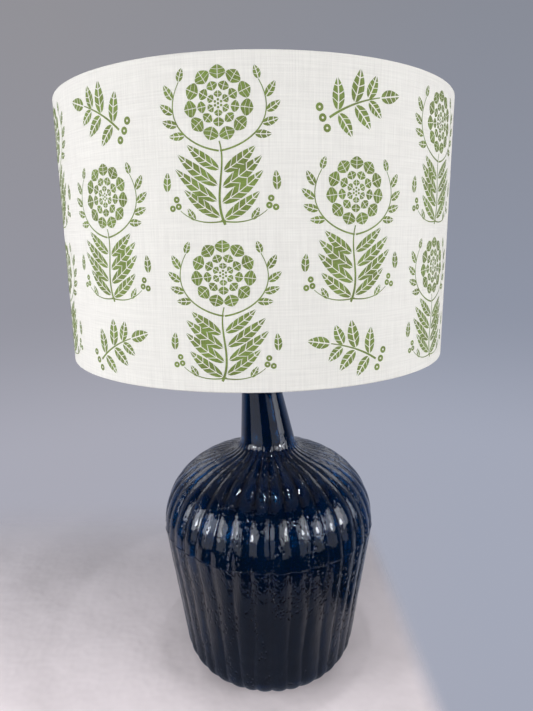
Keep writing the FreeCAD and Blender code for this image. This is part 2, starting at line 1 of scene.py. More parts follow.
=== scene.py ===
import math
import bpy
import bmesh
import numpy as np
from mathutils import Matrix, Vector


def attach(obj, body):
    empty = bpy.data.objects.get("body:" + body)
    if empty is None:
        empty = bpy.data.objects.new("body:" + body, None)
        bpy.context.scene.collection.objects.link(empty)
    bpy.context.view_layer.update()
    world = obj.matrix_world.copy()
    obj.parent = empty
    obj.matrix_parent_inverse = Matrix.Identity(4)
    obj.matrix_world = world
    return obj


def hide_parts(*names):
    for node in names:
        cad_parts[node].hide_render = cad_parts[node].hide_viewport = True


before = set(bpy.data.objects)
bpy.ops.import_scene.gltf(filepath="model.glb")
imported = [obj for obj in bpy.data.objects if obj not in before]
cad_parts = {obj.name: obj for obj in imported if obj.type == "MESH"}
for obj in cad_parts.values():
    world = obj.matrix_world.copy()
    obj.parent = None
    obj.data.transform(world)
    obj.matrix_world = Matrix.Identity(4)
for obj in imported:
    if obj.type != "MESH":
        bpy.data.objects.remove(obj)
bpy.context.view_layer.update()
scene = bpy.context.scene
mm = 0.001
turn = 2 * math.pi
print("frame loaded")


def addObject(name, data):
    new = bpy.data.objects.new(name, data)
    scene.collection.objects.link(new)
    return new


# camera

cameraSetup = {
    "place": (0, -0.61688, 0.52478),
    "lens": 27.58, "sensor": 36,
    "nearest": 0.01,
    "down": 12.32,  # degrees below level
    "roll": -0.757,
    "swing": 0.837,  # degrees to the right of +Y
}


def addCamera(setup):
    down, roll, swing = (math.radians(setup[key]) for key in ("down", "roll", "swing"))
    data = bpy.data.cameras.new("camera")
    data.lens, data.sensor_width, data.clip_start = setup["lens"], setup["sensor"], setup["nearest"]
    scene.camera = addObject("camera", data)
    scene.camera.matrix_world = (Matrix.Translation(setup["place"]) @ Matrix.Rotation(-swing, 4, "Z")
                                 @ Matrix.Rotation(turn / 4 - down, 4, "X") @ Matrix.Rotation(roll, 4, "Z"))


addCamera(cameraSetup)

# grids of points made into meshes


def gridFaces(rows, columns, closedRows=False, closedColumns=True):
    # a quad between each point of the grid and its next ones, round to the first where the grid is closed
    low, left = np.meshgrid(
        np.arange(rows - (not closedRows)), np.arange(columns - (not closedColumns)), indexing="ij")
    high, right = (low + 1) % rows, (left + 1) % columns
    corners = (low * columns + left, low * columns + right, high * columns + right, high * columns + left)
    return np.stack(corners, axis=-1).reshape(-1, 4)


def gridUv(across, along):
    # the corners of each quad, in metres across and along the surface; both lists hold one value past the last quad
    flat = np.stack(np.meshgrid(across, along), axis=-1).reshape(-1, 2)
    return flat[gridFaces(len(along), len(across), closedColumns=False).ravel()]


def stacked(*parts):
    # several (points, faces) put together as one
    points = [part[0].reshape(-1, 3) for part in parts]
    offsets = np.cumsum([0] + [len(group) for group in points])
    return np.concatenate(points), np.concatenate([part[1] + offset for part, offset in zip(parts, offsets)])


def newMesh(name, points, faces, uv=None):
    # a smooth mesh from whole arrays of points, of corner numbers and of the corners' UV places
    points = points.reshape(-1, 3)
    mesh = bpy.data.meshes.new(name)
    mesh.vertices.add(len(points))
    mesh.vertices.foreach_set("co", points.astype(np.float32).ravel())
    mesh.loops.add(faces.size)
    mesh.loops.foreach_set("vertex_index", faces.astype(np.int32).ravel())
    mesh.polygons.add(len(faces))
    mesh.polygons.foreach_set("loop_start", np.arange(0, faces.size, faces.shape[1], dtype=np.int32))
    mesh.polygons.foreach_set("use_smooth", np.ones(len(faces), dtype=bool))
    if uv is not None:
        mesh.uv_layers.new(name="UVMap").data.foreach_set("uv", uv.astype(np.float32).ravel())
    mesh.update(calc_edges=True)
    return mesh


def welded(mesh, near=1e-7, flatWithin=0.0):
    # merges doubled points, so that the flat quads at a pole become triangles; near is in metres. With an angle in
    # degrees it also puts the triangles of a flat together again
    work = bmesh.new()
    work.from_mesh(mesh)
    bmesh.ops.remove_doubles(work, verts=work.verts, dist=near)
    if flatWithin:
        bmesh.ops.dissolve_limit(work, angle_limit=math.radians(flatWithin), verts=work.verts, edges=work.edges)
    work.to_mesh(mesh)
    work.free()
    return mesh


def addPiece(name, mesh, body, material, slot, *nodes):
    piece = addObject(name, mesh)
    mesh.materials.clear()
    mesh.materials.append(material)
    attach(piece, body)
    if nodes:
        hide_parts(*nodes)
    return piece


def rounded(corners, radius, closed=False, steps=5):
    # each corner of an outline becomes a parabola that starts and ends a radius from it, with one more point
    # outside each end, which keeps the flats flat under smooth shading
    corners = np.asarray(corners, float)
    before, after = (np.roll(corners, step, axis=0) - corners for step in (1, -1))
    longBefore, longAfter = (np.linalg.norm(side, axis=1, keepdims=True) for side in (before, after))
    cut = np.minimum(radius, 0.4 * np.minimum(longBefore, longAfter))
    before, after = before / longBefore * cut, after / longAfter * cut
    share = np.linspace(0, 1, steps)[None, :, None]
    curve = corners[:, None] + (1 - share) ** 2 * before[:, None] + share ** 2 * after[:, None]
    spots = np.concatenate([(corners + 1.2 * before)[:, None], curve, (corners + 1.2 * after)[:, None]], axis=1)
    if closed:
        return spots.reshape(-1, 2)
    return np.concatenate([corners[:1], spots[1:-1].reshape(-1, 2), corners[-1:]])


def band(inside, outside, low, high, edge):
    # the outline of a ring with a rectangular section
    return rounded([(inside, low), (outside, low), (outside, high), (inside, high)], edge, closed=True)


def wholeTurn(count):
    # even angles round the axis
    return np.arange(count) / count * turn


def latheGrid(profile, angles, push=0):
    # each (radius, height) of a profile carried round the vertical axis; push adds to the radius at each point
    return roundAxis(profile[:, 0:1] + push, angles, profile[:, 1:2])


def lathe(name, profile, columns=96, push=0):
    # profile in millimetres, up on the outside; one that starts on the axis ends there too, and its poles close it
    profile = np.asarray(profile, float) * mm
    ring = profile[0, 0] > 0
    points = latheGrid(profile, wholeTurn(columns), push)
    mesh = newMesh(name, points, gridFaces(len(profile), columns, closedRows=ring))
    return mesh if ring else welded(mesh)


def laidAlong(mesh, axis, height):
    # turns a lathe made about Z so that its axis lies along X or Y at a height in millimetres
    turned = Matrix.Rotation(turn / 4, 4, "Y") if axis == "X" else Matrix.Rotation(-turn / 4, 4, "X")
    mesh.transform(Matrix.Translation((0, 0, height * mm)) @ turned)
    return mesh


def arcLength(path):
    # the distance along a path up to each of its points
    steps = np.linalg.norm(np.diff(path, axis=0), axis=1)
    return np.concatenate([[0], np.cumsum(steps)])


def leftOf(path):
    # one unit square to a path, on its left, at each of its points
    along = np.gradient(path, axis=0)
    along = along / np.linalg.norm(along, axis=1, keepdims=True)
    return np.stack([-along[:, 1], along[:, 0]], axis=1)


def about(reach, angle):
    # x and y of points at a distance and an angle about the axis
    return np.stack([reach * np.cos(angle), reach * np.sin(angle)], axis=-1)


def swung(x, y, angle):
    # the same point, turned by an angle about where both are 0
    return np.stack([x * np.cos(angle) - y * np.sin(angle), x * np.sin(angle) + y * np.cos(angle)], axis=-1)


def roundAxis(reach, angle, height):
    # points on a surface round the vertical axis
    reach, height = np.broadcast_arrays(reach * np.ones_like(angle), height)
    return np.concatenate([about(reach, angle), height[..., None]], axis=-1)


def bezier(poles, share):
    # the cubic Bezier curve through the first and last of four poles
    poles, share = np.asarray(poles, float), np.asarray(share)[:, None]
    rest = 1 - share
    return (rest ** 3 * poles[0] + 3 * rest ** 2 * share * poles[1]
            + 3 * rest * share ** 2 * poles[2] + share ** 3 * poles[3])


def ripple(angles, lengths, seed, waves, rounds, spacing):
    # gentle noise from -1 to 1: cosine waves of many directions added up. rounds is the most whole waves round
    # the piece, and spacing the shortest wave along it, in metres
    draw = np.random.default_rng(seed)
    total = np.zeros(np.broadcast(angles, lengths).shape)
    for _ in range(waves):
        around = draw.integers(0, rounds + 1) * draw.choice((-1, 1))
        along = turn / spacing * draw.uniform(0.1, 1)
        total += np.cos(around * angles + along * lengths + draw.uniform(0, turn))
    return total / math.sqrt(2 * waves)


# shader node helpers


def addNode(tree, kind, **settings):
    new = tree.nodes.new(f"ShaderNode{kind}")
    for key, setting in settings.items():
        setattr(new, key, setting)
    return new


def feed(node, **inputs):
    # fills sockets by name or number: a plain value is set, an output socket is linked. A colour is three numbers
    for key, source in inputs.items():
        socket = node.inputs[int(key[1:])] if key[0] == "i" and key[1:].isdigit() else node.inputs[key]
        if isinstance(source, bpy.types.NodeSocket):
            node.id_data.links.new(source, socket)
        else:
            socket.default_value = (*source, 1) if socket.type == "RGBA" else source
    return node


def treeOf(*sources):
    # the tree of the first output socket among some sources
    return next(source.id_data for source in sources if isinstance(source, bpy.types.NodeSocket))


def maths(operation, first, second=0.0):
    return feed(addNode(treeOf(first, second), "Math", operation=operation), i0=first, i1=second).outputs[0]


def times(first, second):
    return maths("MULTIPLY", first, second)


def plus(first, second):
    return maths("ADD", first, second)


def mixColour(factor, first, second):
    return feed(addNode(treeOf(factor), "Mix", data_type="RGBA"), i0=factor, i6=first, i7=second).outputs[2]


def spread(value, low, high, toLow=0.0, toHigh=1.0, smooth=False):
    node = addNode(treeOf(value), "MapRange", clamp=True, interpolation_type="SMOOTHSTEP" if smooth else "LINEAR")
    return feed(node, i0=value, i1=low, i2=high, i3=toLow, i4=toHigh).outputs[0]


def axesOf(vector):
    return feed(addNode(treeOf(vector), "SeparateXYZ"), Vector=vector).outputs


def scaled(vector, scale):
    return feed(addNode(treeOf(vector), "VectorMath", operation="MULTIPLY"), i0=vector, i1=scale).outputs[0]


def noise(vector, scale, detail=2.0, roughness=0.5):
    node = addNode(treeOf(vector), "TexNoise")
    return feed(node, Vector=vector, Scale=scale, Detail=detail, Roughness=roughness).outputs[0]


def newGroup(name, numbers, outputs):
    # a group takes a vector and some numbers, given here with their usual values
    tree = bpy.data.node_groups.new(name, "ShaderNodeTree")
    tree.interface.new_socket("Vector", in_out="INPUT", socket_type="NodeSocketVector")
    for label, value in numbers.items():
        tree.interface.new_socket(label, in_out="INPUT", socket_type="NodeSocketFloat").default_value = value
    for label in outputs:
        tree.interface.new_socket(label, in_out="OUTPUT", socket_type="NodeSocketFloat")
    return tree, tree.nodes.new("NodeGroupInput").outputs, tree.nodes.new("NodeGroupOutput").inputs


def useGroup(tree, group, **inputs):
    return feed(addNode(tree, "Group", node_tree=group), **inputs).outputs


def newMaterial(name, sockets):
    material = bpy.data.materials.new(name)
    material.use_nodes = True
    tree = material.node_tree
    shader = tree.nodes["Principled BSDF"]
    for key, value in sockets.items():
        shader.inputs[key].default_value = value
    return material, tree, shader


def objectSpace(tree):
    return addNode(tree, "TexCoord").outputs["Object"]


def bumped(shader, height, distance, strength=1.0):
    node = feed(addNode(shader.id_data, "Bump"), Height=height, Strength=strength, Distance=distance)
    feed(shader, Normal=node.outputs[0])


# groups that several materials use

weaveSetup = {
    "threads": {"Pitch": 0.00062, "Slub": 1.0},  # from thread to thread in metres, and the strength of the slubs
    "streaks": ((900, 26, 1), (22, 820, 1)),  # up and across
    # paintedThreadShade: how much darker the colour is painted between the threads than on top of them
    "slubHeight": 1.6, "paintedThreadShade": 0.25,
}


def makeWeave(setup):
    # plain weave of two sets of threads on a UV map in metres, with slubs: long streaks of thicker thread
    tree, given, out = newGroup("weave", setup["threads"], ("Height", "Tone"))
    axes = axesOf(given["Vector"])
    warp, weft = (maths("SINE", times(maths("DIVIDE", axis, given["Pitch"]), math.pi)) for axis in axes[:2])
    over = spread(times(warp, weft), -0.25, 0.25)
    threads = plus(times(maths("ABSOLUTE", warp), over), times(maths("ABSOLUTE", weft), maths("SUBTRACT", 1.0, over)))
    up, across = (noise(scaled(given["Vector"], stretch), 1.0, 3.0, 0.6) for stretch in setup["streaks"])
    slub = times(maths("SUBTRACT", plus(up, across), 1.0), given["Slub"])
    tree.links.new(plus(threads, times(slub, setup["slubHeight"])), out["Height"])
    # Tone holds the slubs' own tone and painted shade between the threads
    tree.links.new(plus(times(threads, setup["paintedThreadShade"]), slub), out["Tone"])
    return tree


def makeGrain():
    # the fine skin of moulded or coated pieces, and soft marks from handling
    tree, given, out = newGroup("grain", {"Fine": 2500.0, "Broad": 60.0}, ("Height", "Marks"))
    fine = noise(given["Vector"], given["Fine"], 3.0)
    broad = noise(given["Vector"], given["Broad"], 4.0, 0.6)
    tree.links.new(fine, out["Height"])
    tree.links.new(spread(broad, 0.38, 0.68, smooth=True), out["Marks"])
    return tree


weaveGroup = makeWeave(weaveSetup)
grainGroup = makeGrain()

finishSetup = {
    # Colour, colour where it is handled, other sockets, fine and broad grain, bump in metres,
    # roughness from and to
    # painted shade: the liner is a mid grey, not white, for the shade inside the drum
    "linerPlastic": ((0.64, 0.63, 0.61), (0.58, 0.57, 0.55), {"Specular IOR Level": 0.4},
                   900, 18, 0.00005, (0.42, 0.55)),
    "whiteWire": ((0.80, 0.79, 0.77), (0.70, 0.69, 0.66), {"Coat Weight": 0.2}, 1600, 80, 0.00005, (0.28, 0.42)),
    "whitePlastic": ((0.80, 0.79, 0.755), (0.72, 0.71, 0.67), {"Coat Weight": 0.1}, 3000, 70, 0.00003, (0.26, 0.38)),
    "antiqueBrass": ((0.46, 0.31, 0.12), (0.25, 0.16, 0.065), {"Metallic": 1}, 1400, 45, 0.00005, (0.28, 0.5)),
    "contactBrass": ((0.78, 0.58, 0.27), (0.62, 0.43, 0.19), {"Metallic": 1}, 1800, 120, 0.00003, (0.2, 0.36)),
    "zincSteel": ((0.62, 0.62, 0.60), (0.46, 0.46, 0.43), {"Metallic": 1}, 1500, 110, 0.00004, (0.28, 0.48)),
    "blackRubber": ((0.022, 0.022, 0.023), (0.045, 0.044, 0.042), {}, 1200, 60, 0.00008, (0.6, 0.8)),
    "clearSilicone": ((0.72, 0.75, 0.76), (0.62, 0.65, 0.66), {}, 900, 90, 0.00005, (0.35, 0.5)),
    "steatite": ((0.74, 0.72, 0.66), (0.62, 0.60, 0.54), {}, 1500, 140, 0.0001, (0.5, 0.7)),
    "opalGlass": ((0.86, 0.86, 0.84), (0.82, 0.82, 0.80), {"Coat Weight": 0.3}, 700, 16, 0.00002, (0.16, 0.24)),
    "bulbPlastic": ((0.80, 0.80, 0.785), (0.74, 0.74, 0.72), {}, 2200, 50, 0.00003, (0.3, 0.42)),
    "nickelCap": ((0.66, 0.65, 0.61), (0.52, 0.50, 0.46), {"Metallic": 1}, 2000, 160, 0.00002, (0.18, 0.34)),
    "blackBead": ((0.012, 0.012, 0.016), (0.03, 0.03, 0.034), {}, 1500, 160, 0.00003, (0.1, 0.25)),
}


def coatedMaterial(name, colour, marked, sockets, fine, broad, bump, rough):
    # a coated, moulded or metal piece: its colour drifts a little towards a second one where it is handled
    material, tree, shader = newMaterial(name, sockets)
    grain = useGroup(tree, grainGroup, Vector=objectSpace(tree), Fine=fine, Broad=broad)
    feed(shader, **{"Base Color": mixColour(grain["Marks"], colour, marked),
                    "Roughness": spread(grain["Marks"], 0, 1, *rough)})
    bumped(shader, grain["Height"], bump)
    return material


def spelled(name):
    # neckCap becomes neck_cap
    return "".join(f"_{letter.lower()}" if letter.isupper() else letter for letter in name)


finish = {name: coatedMaterial(name, *values) for name, values in finishSetup.items()}


def addFinished(name, mesh, body, look):
    # a piece that takes the place of the node of its own name
    return addPiece(name, mesh, body, finish[look], spelled(look), spelled(name))


print("helpers ready")

# glass bottle

bottleSetup = {
    "foot": (62.5, 1.5), "heel": (104.3, 40), "belly": (125.3, 190),
    "shoulder": (60, 271.5), "root": (31.8, 291), "mouth": (20.5, 376),
    "footPitch": 20, "shoulderPitch": 16.7,  # degrees
    "footPull": 0.54, "heelPull": 0.52, "bellyPull": 0.47, "shoulderPull": 0.7, "hollowPull": 0.61, "rootPull": 0.57,
    "lipBead": 2.2,
    "wall": 5,
    "lean": 9,
    "punt": (46, 9.5),  # its radius, and its height over the table
    "ribs": 36, "ribDepth": 2.7, "ribPower": 2.1, "columnsPerRib": 12,
    # heights, and the share of the full depth that a groove has there
    "ribFade": ((1.5, 8, 245, 264, 280, 290), (0.35, 1, 1, 1.5, 1.3, 0)),
    "rows": 186,
    "seamHeight": 190, "seamRise": 0.5, "seamWidth": 0.5, "seamWave": 1.1,
    "wobble": 0.09,  # of a rib's width
    "ribVaries": 0.16, "ribSeed": 5,  # of its depth, from rib to rib
    "bodyRadius": 124,  # where the glass is as uneven as the next three values say
    "uneven": 0.16, "unevenFine": 0.07, "unevenInside": 0.9,
    # ripples: seed, waves, most waves round, shortest wave along in metres
    "wander": (11, 20, 14, 0.09), "broad": (21, 40, 30, 0.016), "fine": (22, 70, 110, 0.006),
    "inside": (23, 24, 12, 0.04), "seamPath": (31, 14, 24, 1), "seamHeights": (32, 10, 40, 1),
}


def polar(point, degrees, length):
    return point + about(length, math.radians(degrees))


def bottleProfile(setup):
    # (radius, height) in millimetres from the middle of the foot, up the outside, over the lip and down inside;
    # beside it the share of the full rib depth, and whether the point is outside
    foot, heel, belly, shoulder, root, mouth = (
        setup[key] for key in ("foot", "heel", "belly", "shoulder", "root", "mouth"))
    wallPitch = math.degrees(math.atan2(belly[1] - heel[1], belly[0] - heel[0]))
    neckPitch = math.degrees(math.atan2(mouth[1] - root[1], mouth[0] - root[0]))
    fine = np.linspace(0, 1, 400)
    heelCurve = bezier([foot, polar(foot, setup["footPitch"], setup["footPull"] * (heel[0] - foot[0])),
                        polar(heel, wallPitch, -setup["heelPull"] * (heel[1] - foot[1])), heel], fine)
    wall = np.linspace(heel, belly, 400)
    upper = bezier([belly, polar(belly, 90, setup["bellyPull"] * (shoulder[1] - belly[1])),
                    polar(shoulder, -setup["shoulderPitch"], setup["shoulderPull"] * (belly[0] - shoulder[0])),
                    shoulder], fine)
    hollow = bezier([shoulder, polar(shoulder, 180 - setup["shoulderPitch"],
                                     setup["hollowPull"] * (shoulder[0] - root[0])),
                     polar(root, neckPitch, -setup["rootPull"] * (root[1] - shoulder[1])), root], fine)
    bead, radius, top = setup["lipBead"], mouth[0], mouth[1]
    lip = rounded([root, (radius, top - 3 * bead), (radius + bead, top - 2 * bead), (radius + bead, top - 0.4),
                   (radius - setup["wall"], top - 0.2), (radius - setup["wall"], top - 20)], 1.0)
    neck = np.linspace(root, lip[1], 60, endpoint=False)
    puntRadius, puntTop = setup["punt"]
    punt = rounded([(0, puntTop), (puntRadius * 0.55, puntTop - 1.2), (puntRadius, foot[1] + 0.6),
                    (puntRadius + 5, foot[1]), (foot[0] - 2, foot[1]), foot], 6)
    body = np.concatenate([heelCurve[1:], wall[1:], upper[1:], hollow[1:]])
    outside = np.concatenate([punt, body, neck[1:], lip[1:]])
    inner = body + leftOf(body) * setup["wall"]
    floor = puntTop + 6
    inner = inner[inner[:, 1] > floor + 4][::-1]
    inside = np.concatenate([inner, rounded([inner[-1], (inner[-1][0] - 9, floor), (0, floor + 1)], 8)])
    curve = np.concatenate([outside, inside])
    outer = np.arange(len(curve)) < len(outside)
    ribbed = np.interp(curve[:, 1], *setup["ribFade"]) * outer
    ribbed = np.where(np.arange(len(curve)) < len(punt) - 1, 0, ribbed)
    return curve, ribbed, outer


def bottleMesh(setup):
    # the profile carried round the axis, drawn in at the grooves and pushed out or in by ripples and by the seam
    curve, ribbed, outer = bottleProfile(setup)
    length = arcLength(curve)
    # rows crowd at the seam line, at the lip and at the rounded heel
    density = 1 + 9 * np.exp(-((curve[:, 1] - setup["seamHeight"]) / 3) ** 2) * outer
    density += 2.5 * (curve[:, 1] > 366) + 0.8 * np.exp(-((curve[:, 1] - 12) / 14) ** 2) * outer - 0.72 * ~outer
    share = np.concatenate([[0], np.cumsum(np.diff(length) * density[1:])])
    spots = np.interp(np.linspace(0, share[-1], setup["rows"]), share, length)
    radius, height = (np.interp(spots, length, curve[:, axis])[:, None] for axis in (0, 1))
    depth = np.interp(spots, length, ribbed)[:, None]
    isOuter = np.interp(spots, length, outer.astype(float))[:, None]
    columns = setup["ribs"] * setup["columnsPerRib"]
    angles = wholeTurn(columns)[None, :]
    rows = spots[:, None] * mm
    pitch = turn / setup["ribs"]

    # ribs: between two grooves the surface stands proud as a parabola, and each rib wanders a little
    size = radius / setup["bodyRadius"]
    wander = setup["wobble"] * pitch * ripple(angles, rows, *setup["wander"]) * np.clip(size, 0.3, 1)
    ribPlace = (angles + wander) / pitch
    across = np.abs(2 * (ribPlace % 1) - 1)
    draw = np.random.default_rng(setup["ribSeed"])
    each = 1 + setup["ribVaries"] * draw.uniform(-1, 1, setup["ribs"])[np.floor(ribPlace).astype(int) % setup["ribs"]]
    groove = setup["ribDepth"] * each * depth * radius / setup["belly"][0] * across ** setup["ribPower"]

    # uneven surface of mould-blown glass
    uneven = setup["uneven"] * ripple(angles, rows, *setup["broad"])
    uneven = uneven + setup["unevenFine"] * ripple(angles, rows, *setup["fine"])
    inside = setup["unevenInside"] * ripple(angles, rows, *setup["inside"])
    calm = np.clip((radius - 24) / 40, 0.22, 1)  # the drawn neck is smoother than the body
    uneven = np.clip(size, 0.15, 1) * calm * (isOuter * uneven + (1 - isOuter) * inside)

    # the mould's seam: a thin raised line that wanders up and down
    seamLine = setup["seamHeight"] + setup["seamWave"] * ripple(angles, 0 * rows, *setup["seamPath"])
    off = (height - seamLine) / setup["seamWidth"]
    varied = 0.75 + 0.25 * ripple(angles, 0 * rows, *setup["seamHeights"])
    seam = setup["seamRise"] * np.exp(-off ** 2) * isOuter * varied

    reach = (radius - groove + (uneven + seam) * np.clip(radius / 30, 0, 1)) * mm
    span = (height - setup["root"][1]) / (setup["mouth"][1] - setup["root"][1])
    centre = (setup["lean"] * (1 - np.clip(span, 0, 1))) * mm
    points = roundAxis(reach, angles, height * mm)
    points[..., 0] += centre
    mesh = newMesh("glassBottle", points, gridFaces(len(spots), columns))
    # 0 on the crest of a rib and 1 in a groove, where the glass is thinner and its colour lighter
    thin = np.where(depth > 0.01, across ** 2, 0.3) * np.ones_like(reach)
    mesh.attributes.new("thin", "FLOAT", "POINT").data.foreach_set("value", thin.astype(np.float32).ravel())
    return welded(mesh)


glassSetup = {
    "sockets": {"Roughness": 0.02, "IOR": 1.52, "Transmission Weight": 0.93, "Metallic": 0.0},
    # colour low and high on the body, in thick streaks, where a wall is thin, painted shade in the shoulder's furrows,
    # painted shade in the neck under the lampshade
    "low": (0.003, 0.019, 0.060), "high": (0.006, 0.075, 0.235), "thick": (0.003, 0.030, 0.092),
    "thin": (0.008, 0.064, 0.220), "paintedFurrowShade": (0.001, 0.009, 0.029), "neck": (0.002, 0.027, 0.080),
    # relief: scale upwards as a share of that across, scale, roughness, height in metres
    "waves": (0.6, 110, 0.5, 0.0007), "fine": (0.8, 420, 0.6, 0.00009), "drawn": (0.12, 260, 0.5, 0.0002),
    "pitScale": 290, "pitDepth": 0.0011,
    "calmNeck": 0.06,  # the share of the relief that the neck keeps
}


def glassMaterial(setup):
    # dark navy glass, deepest low down; ripples and small pits break up its reflections. Heights are in metres
    material, tree, shader = newMaterial("navyGlass", setup["sockets"])
    where = objectSpace(tree)
    rise = axesOf(where)[2]
    thin = addNode(tree, "Attribute", attribute_name="thin").outputs["Fac"]

    def layer(key):
        stretch, scale, rough, height = setup[key]
        return noise(scaled(where, (1, 1, stretch)), scale, 2.0, rough), height

    streaks = noise(scaled(where, (70, 70, 9)), 1.0, 3.0)
    colour = setup["low"]
    for key, share in (
            ("high", spread(rise, 0.12, 0.26, smooth=True)),
            ("thick", spread(streaks, 0.4, 0.62, 0, 0.75)),
            ("thin", times(spread(thin, 0.25, 1.0, 0, 0.55, smooth=True), spread(rise, 0.16, 0.22, 0.15, 1.0))),
            # painted shade: the furrows of the upper shoulder are darkened
            ("paintedFurrowShade", times(spread(thin, 0.15, 0.8, 0, 0.9), spread(rise, 0.232, 0.252))),
            # painted shade: the neck, which sits under the lampshade, is darker
            ("neck", spread(rise, 0.285, 0.305, 0, 0.6, smooth=True))):
        colour = mixColour(share, colour, setup[key])
    feed(shader, **{"Base Color": colour})

    # under the seam lies a belt of drawn streaks and pits
    belt = times(spread(rise, 0.110, 0.150, 0, 0.08), spread(rise, 0.195, 0.188))
    drawn, drawnHeight = layer("drawn")
    uneven = times(drawn, plus(drawnHeight, times(belt, 0.006)))
    for key in ("waves", "fine"):
        uneven = plus(uneven, times(*layer(key)))
    cells = feed(addNode(tree, "TexVoronoi"), Vector=scaled(where, (1, 1, 0.6)), Scale=setup["pitScale"]).outputs[0]
    patches = plus(noise(scaled(where, (1, 1, 0.3)), 60.0, 2.0), belt)
    sparse = times(spread(patches, 0.53, 0.60), spread(thin, 0.02, 0.5, 0.45, 1.0))
    pits = times(spread(cells, 0.10, 0.45, -setup["pitDepth"], 0.0, smooth=True), sparse)
    body = spread(rise, 0.300, 0.275, setup["calmNeck"], 1.0, smooth=True)
    bumped(shader, times(plus(uneven, pits), body), 1.0)
    return material


addPiece("glassBottle", bottleMesh(bottleSetup), "base", glassMaterial(glassSetup), "bottle_glass", "glass_bottle")
print("bottle made")

# drum shade: linen rolled round the two rings, liner, printed pattern

shadeSetup = {
    "radius": 200, "low": 403, "high": 653,
    "cloth": 0.45,
    "ringCircle": 197.2, "ringInset": 2.1, "rollRadius": 1.83,
    "hem": 8,
    "linerRadius": 199.3, "linerThickness": 0.5, "linerInset": 0.6,
    "overlap": 10, "overlapRise": 0.35,  # where the two ends of the linen lie over each other, at the back
    "columns": 384,
}


def clothPath(setup):
    # middle line of the linen in millimetres: hem, round the low ring, up the wall, round the high ring, hem
    half = setup["cloth"] / 2
    wall = setup["radius"] - half
    inside = setup["ringCircle"] - setup["rollRadius"]
    hem = setup["linerRadius"] - setup["linerThickness"] - 0.1 - half
    low, high = setup["low"] + 0.04 + half, setup["high"] - 0.04 - half
    ringLow, ringHigh = setup["low"] + setup["ringInset"], setup["high"] - setup["ringInset"]
    corners = [(hem, ringLow + 4 + setup["hem"]), (hem, ringLow + 3.2), (inside, ringLow + 1.4), (inside, low),
               (wall, low), (wall, high),
               (inside, high), (inside, ringHigh - 1.4), (hem, ringHigh - 3.2), (hem, ringHigh - 4 - setup["hem"])]
    path = rounded(corners, 1.3)
    rise = np.linspace(low + 6, high - 6, 26)
    middle = int(np.searchsorted(path[:, 1] * (path[:, 0] > wall - 0.01), (low + high) / 2))
    return np.insert(path, middle, np.stack([np.full(26, wall), rise], axis=1), axis=0)


def clothOutline(path, thickness):
    # the outer side of the path, then its inner side on the way back: half the thickness to each side
    side = leftOf(path) * thickness / 2
    return np.concatenate([path - side, (path + side)[::-1]])


def shadeAngles(setup):
    # even columns, and a few more at both edges of the overlap
    halfWidth = setup["overlap"] / 2 / setup["radius"]
    edges = [turn / 4 + side * halfWidth + step * 0.0008 for side in (-1, 1) for step in (-1, -0.3, 0.3, 1)]
    return np.unique(np.concatenate([wholeTurn(setup["columns"]), edges]))


def shadeFabric(setup):
    # the outline of the cloth carried round the axis, its outer side pushed out where the two ends overlap
    path = clothPath(setup)
    outline = clothOutline(path, setup["cloth"]) * mm
    angles = shadeAngles(setup)
    off = np.abs(angles - turn / 4) * setup["radius"]
    fold = np.clip((setup["overlap"] / 2 + 0.15 - off) / 0.3, 0, 1) * setup["overlapRise"] * mm
    onOutside = np.concatenate([np.ones(len(path)), np.zeros(len(path))])[:, None]
    points = latheGrid(outline, angles, onOutside * fold)
    length = arcLength(path) * mm
    around = np.append(angles, turn) * setup["radius"] * mm
    along = np.concatenate([length, length[::-1], length[:1]])
    mesh = newMesh("shadeFabric", points, gridFaces(len(outline), len(angles), closedRows=True),
                   gridUv(around, along))
    return mesh, length[-1]


linenSetup = {
    "sockets": {"Roughness": 0.85, "Sheen Weight": 0.15, "Sheen Roughness": 0.6, "Specular IOR Level": 0.25},
    # painted shade: darker between the threads, lighter on top of them; the slubs shift the colour as well
    "low": (0.722, 0.700, 0.640), "high": (0.908, 0.883, 0.810),  # between the threads and on top of them
    "relief": (0.00012, 0.6),  # in metres, and its strength
}


def threadsOf(tree):
    # the weave on a piece's own UV map, and that map
    uv = addNode(tree, "UVMap", uv_map="UVMap").outputs[0]
    return uv, useGroup(tree, weaveGroup, Vector=uv, **weaveSetup["threads"])


def linenMaterial(setup):
    material, tree, shader = newMaterial("linen", setup["sockets"])
    weave = threadsOf(tree)[1]
    feed(shader, **{"Base Color": mixColour(spread(weave["Tone"], -0.35, 0.6), setup["low"], setup["high"])})
    bumped(shader, weave["Height"], *setup["relief"])
    return material


fabricMesh, clothLength = shadeFabric(shadeSetup)
shadeFabricPiece = addPiece("shadeFabric", fabricMesh, "shade", linenMaterial(linenSetup), "shade_linen",
                            "shade_fabric")


def linerMesh(setup):
    # a thin rectangle carried round the axis
    outside, inset = setup["linerRadius"], setup["linerInset"]
    outline = band(outside - setup["linerThickness"], outside, setup["low"] + inset, setup["high"] - inset, 0.2)
    return lathe("shadeLiner", outline, 192)


addFinished("shadeLiner", linerMesh(shadeSetup), "shade", "linerPlastic")
print("shade made")

# printed pattern: leaf sprigs in one ink, staggered round the drum

printSetup = {
    "lift": 0.09,  # of the ink over the linen, in millimetres
    "columns": 12,
    "bigHeights": (65, 186), "middleHeight": 125.5, "bigSize": 0.97,
    "smallHeights": (33, 218), "smallSize": 1.5,
    "veinSweep": 0.2,
    "start": -97.5,  # degrees, place of the first column
}


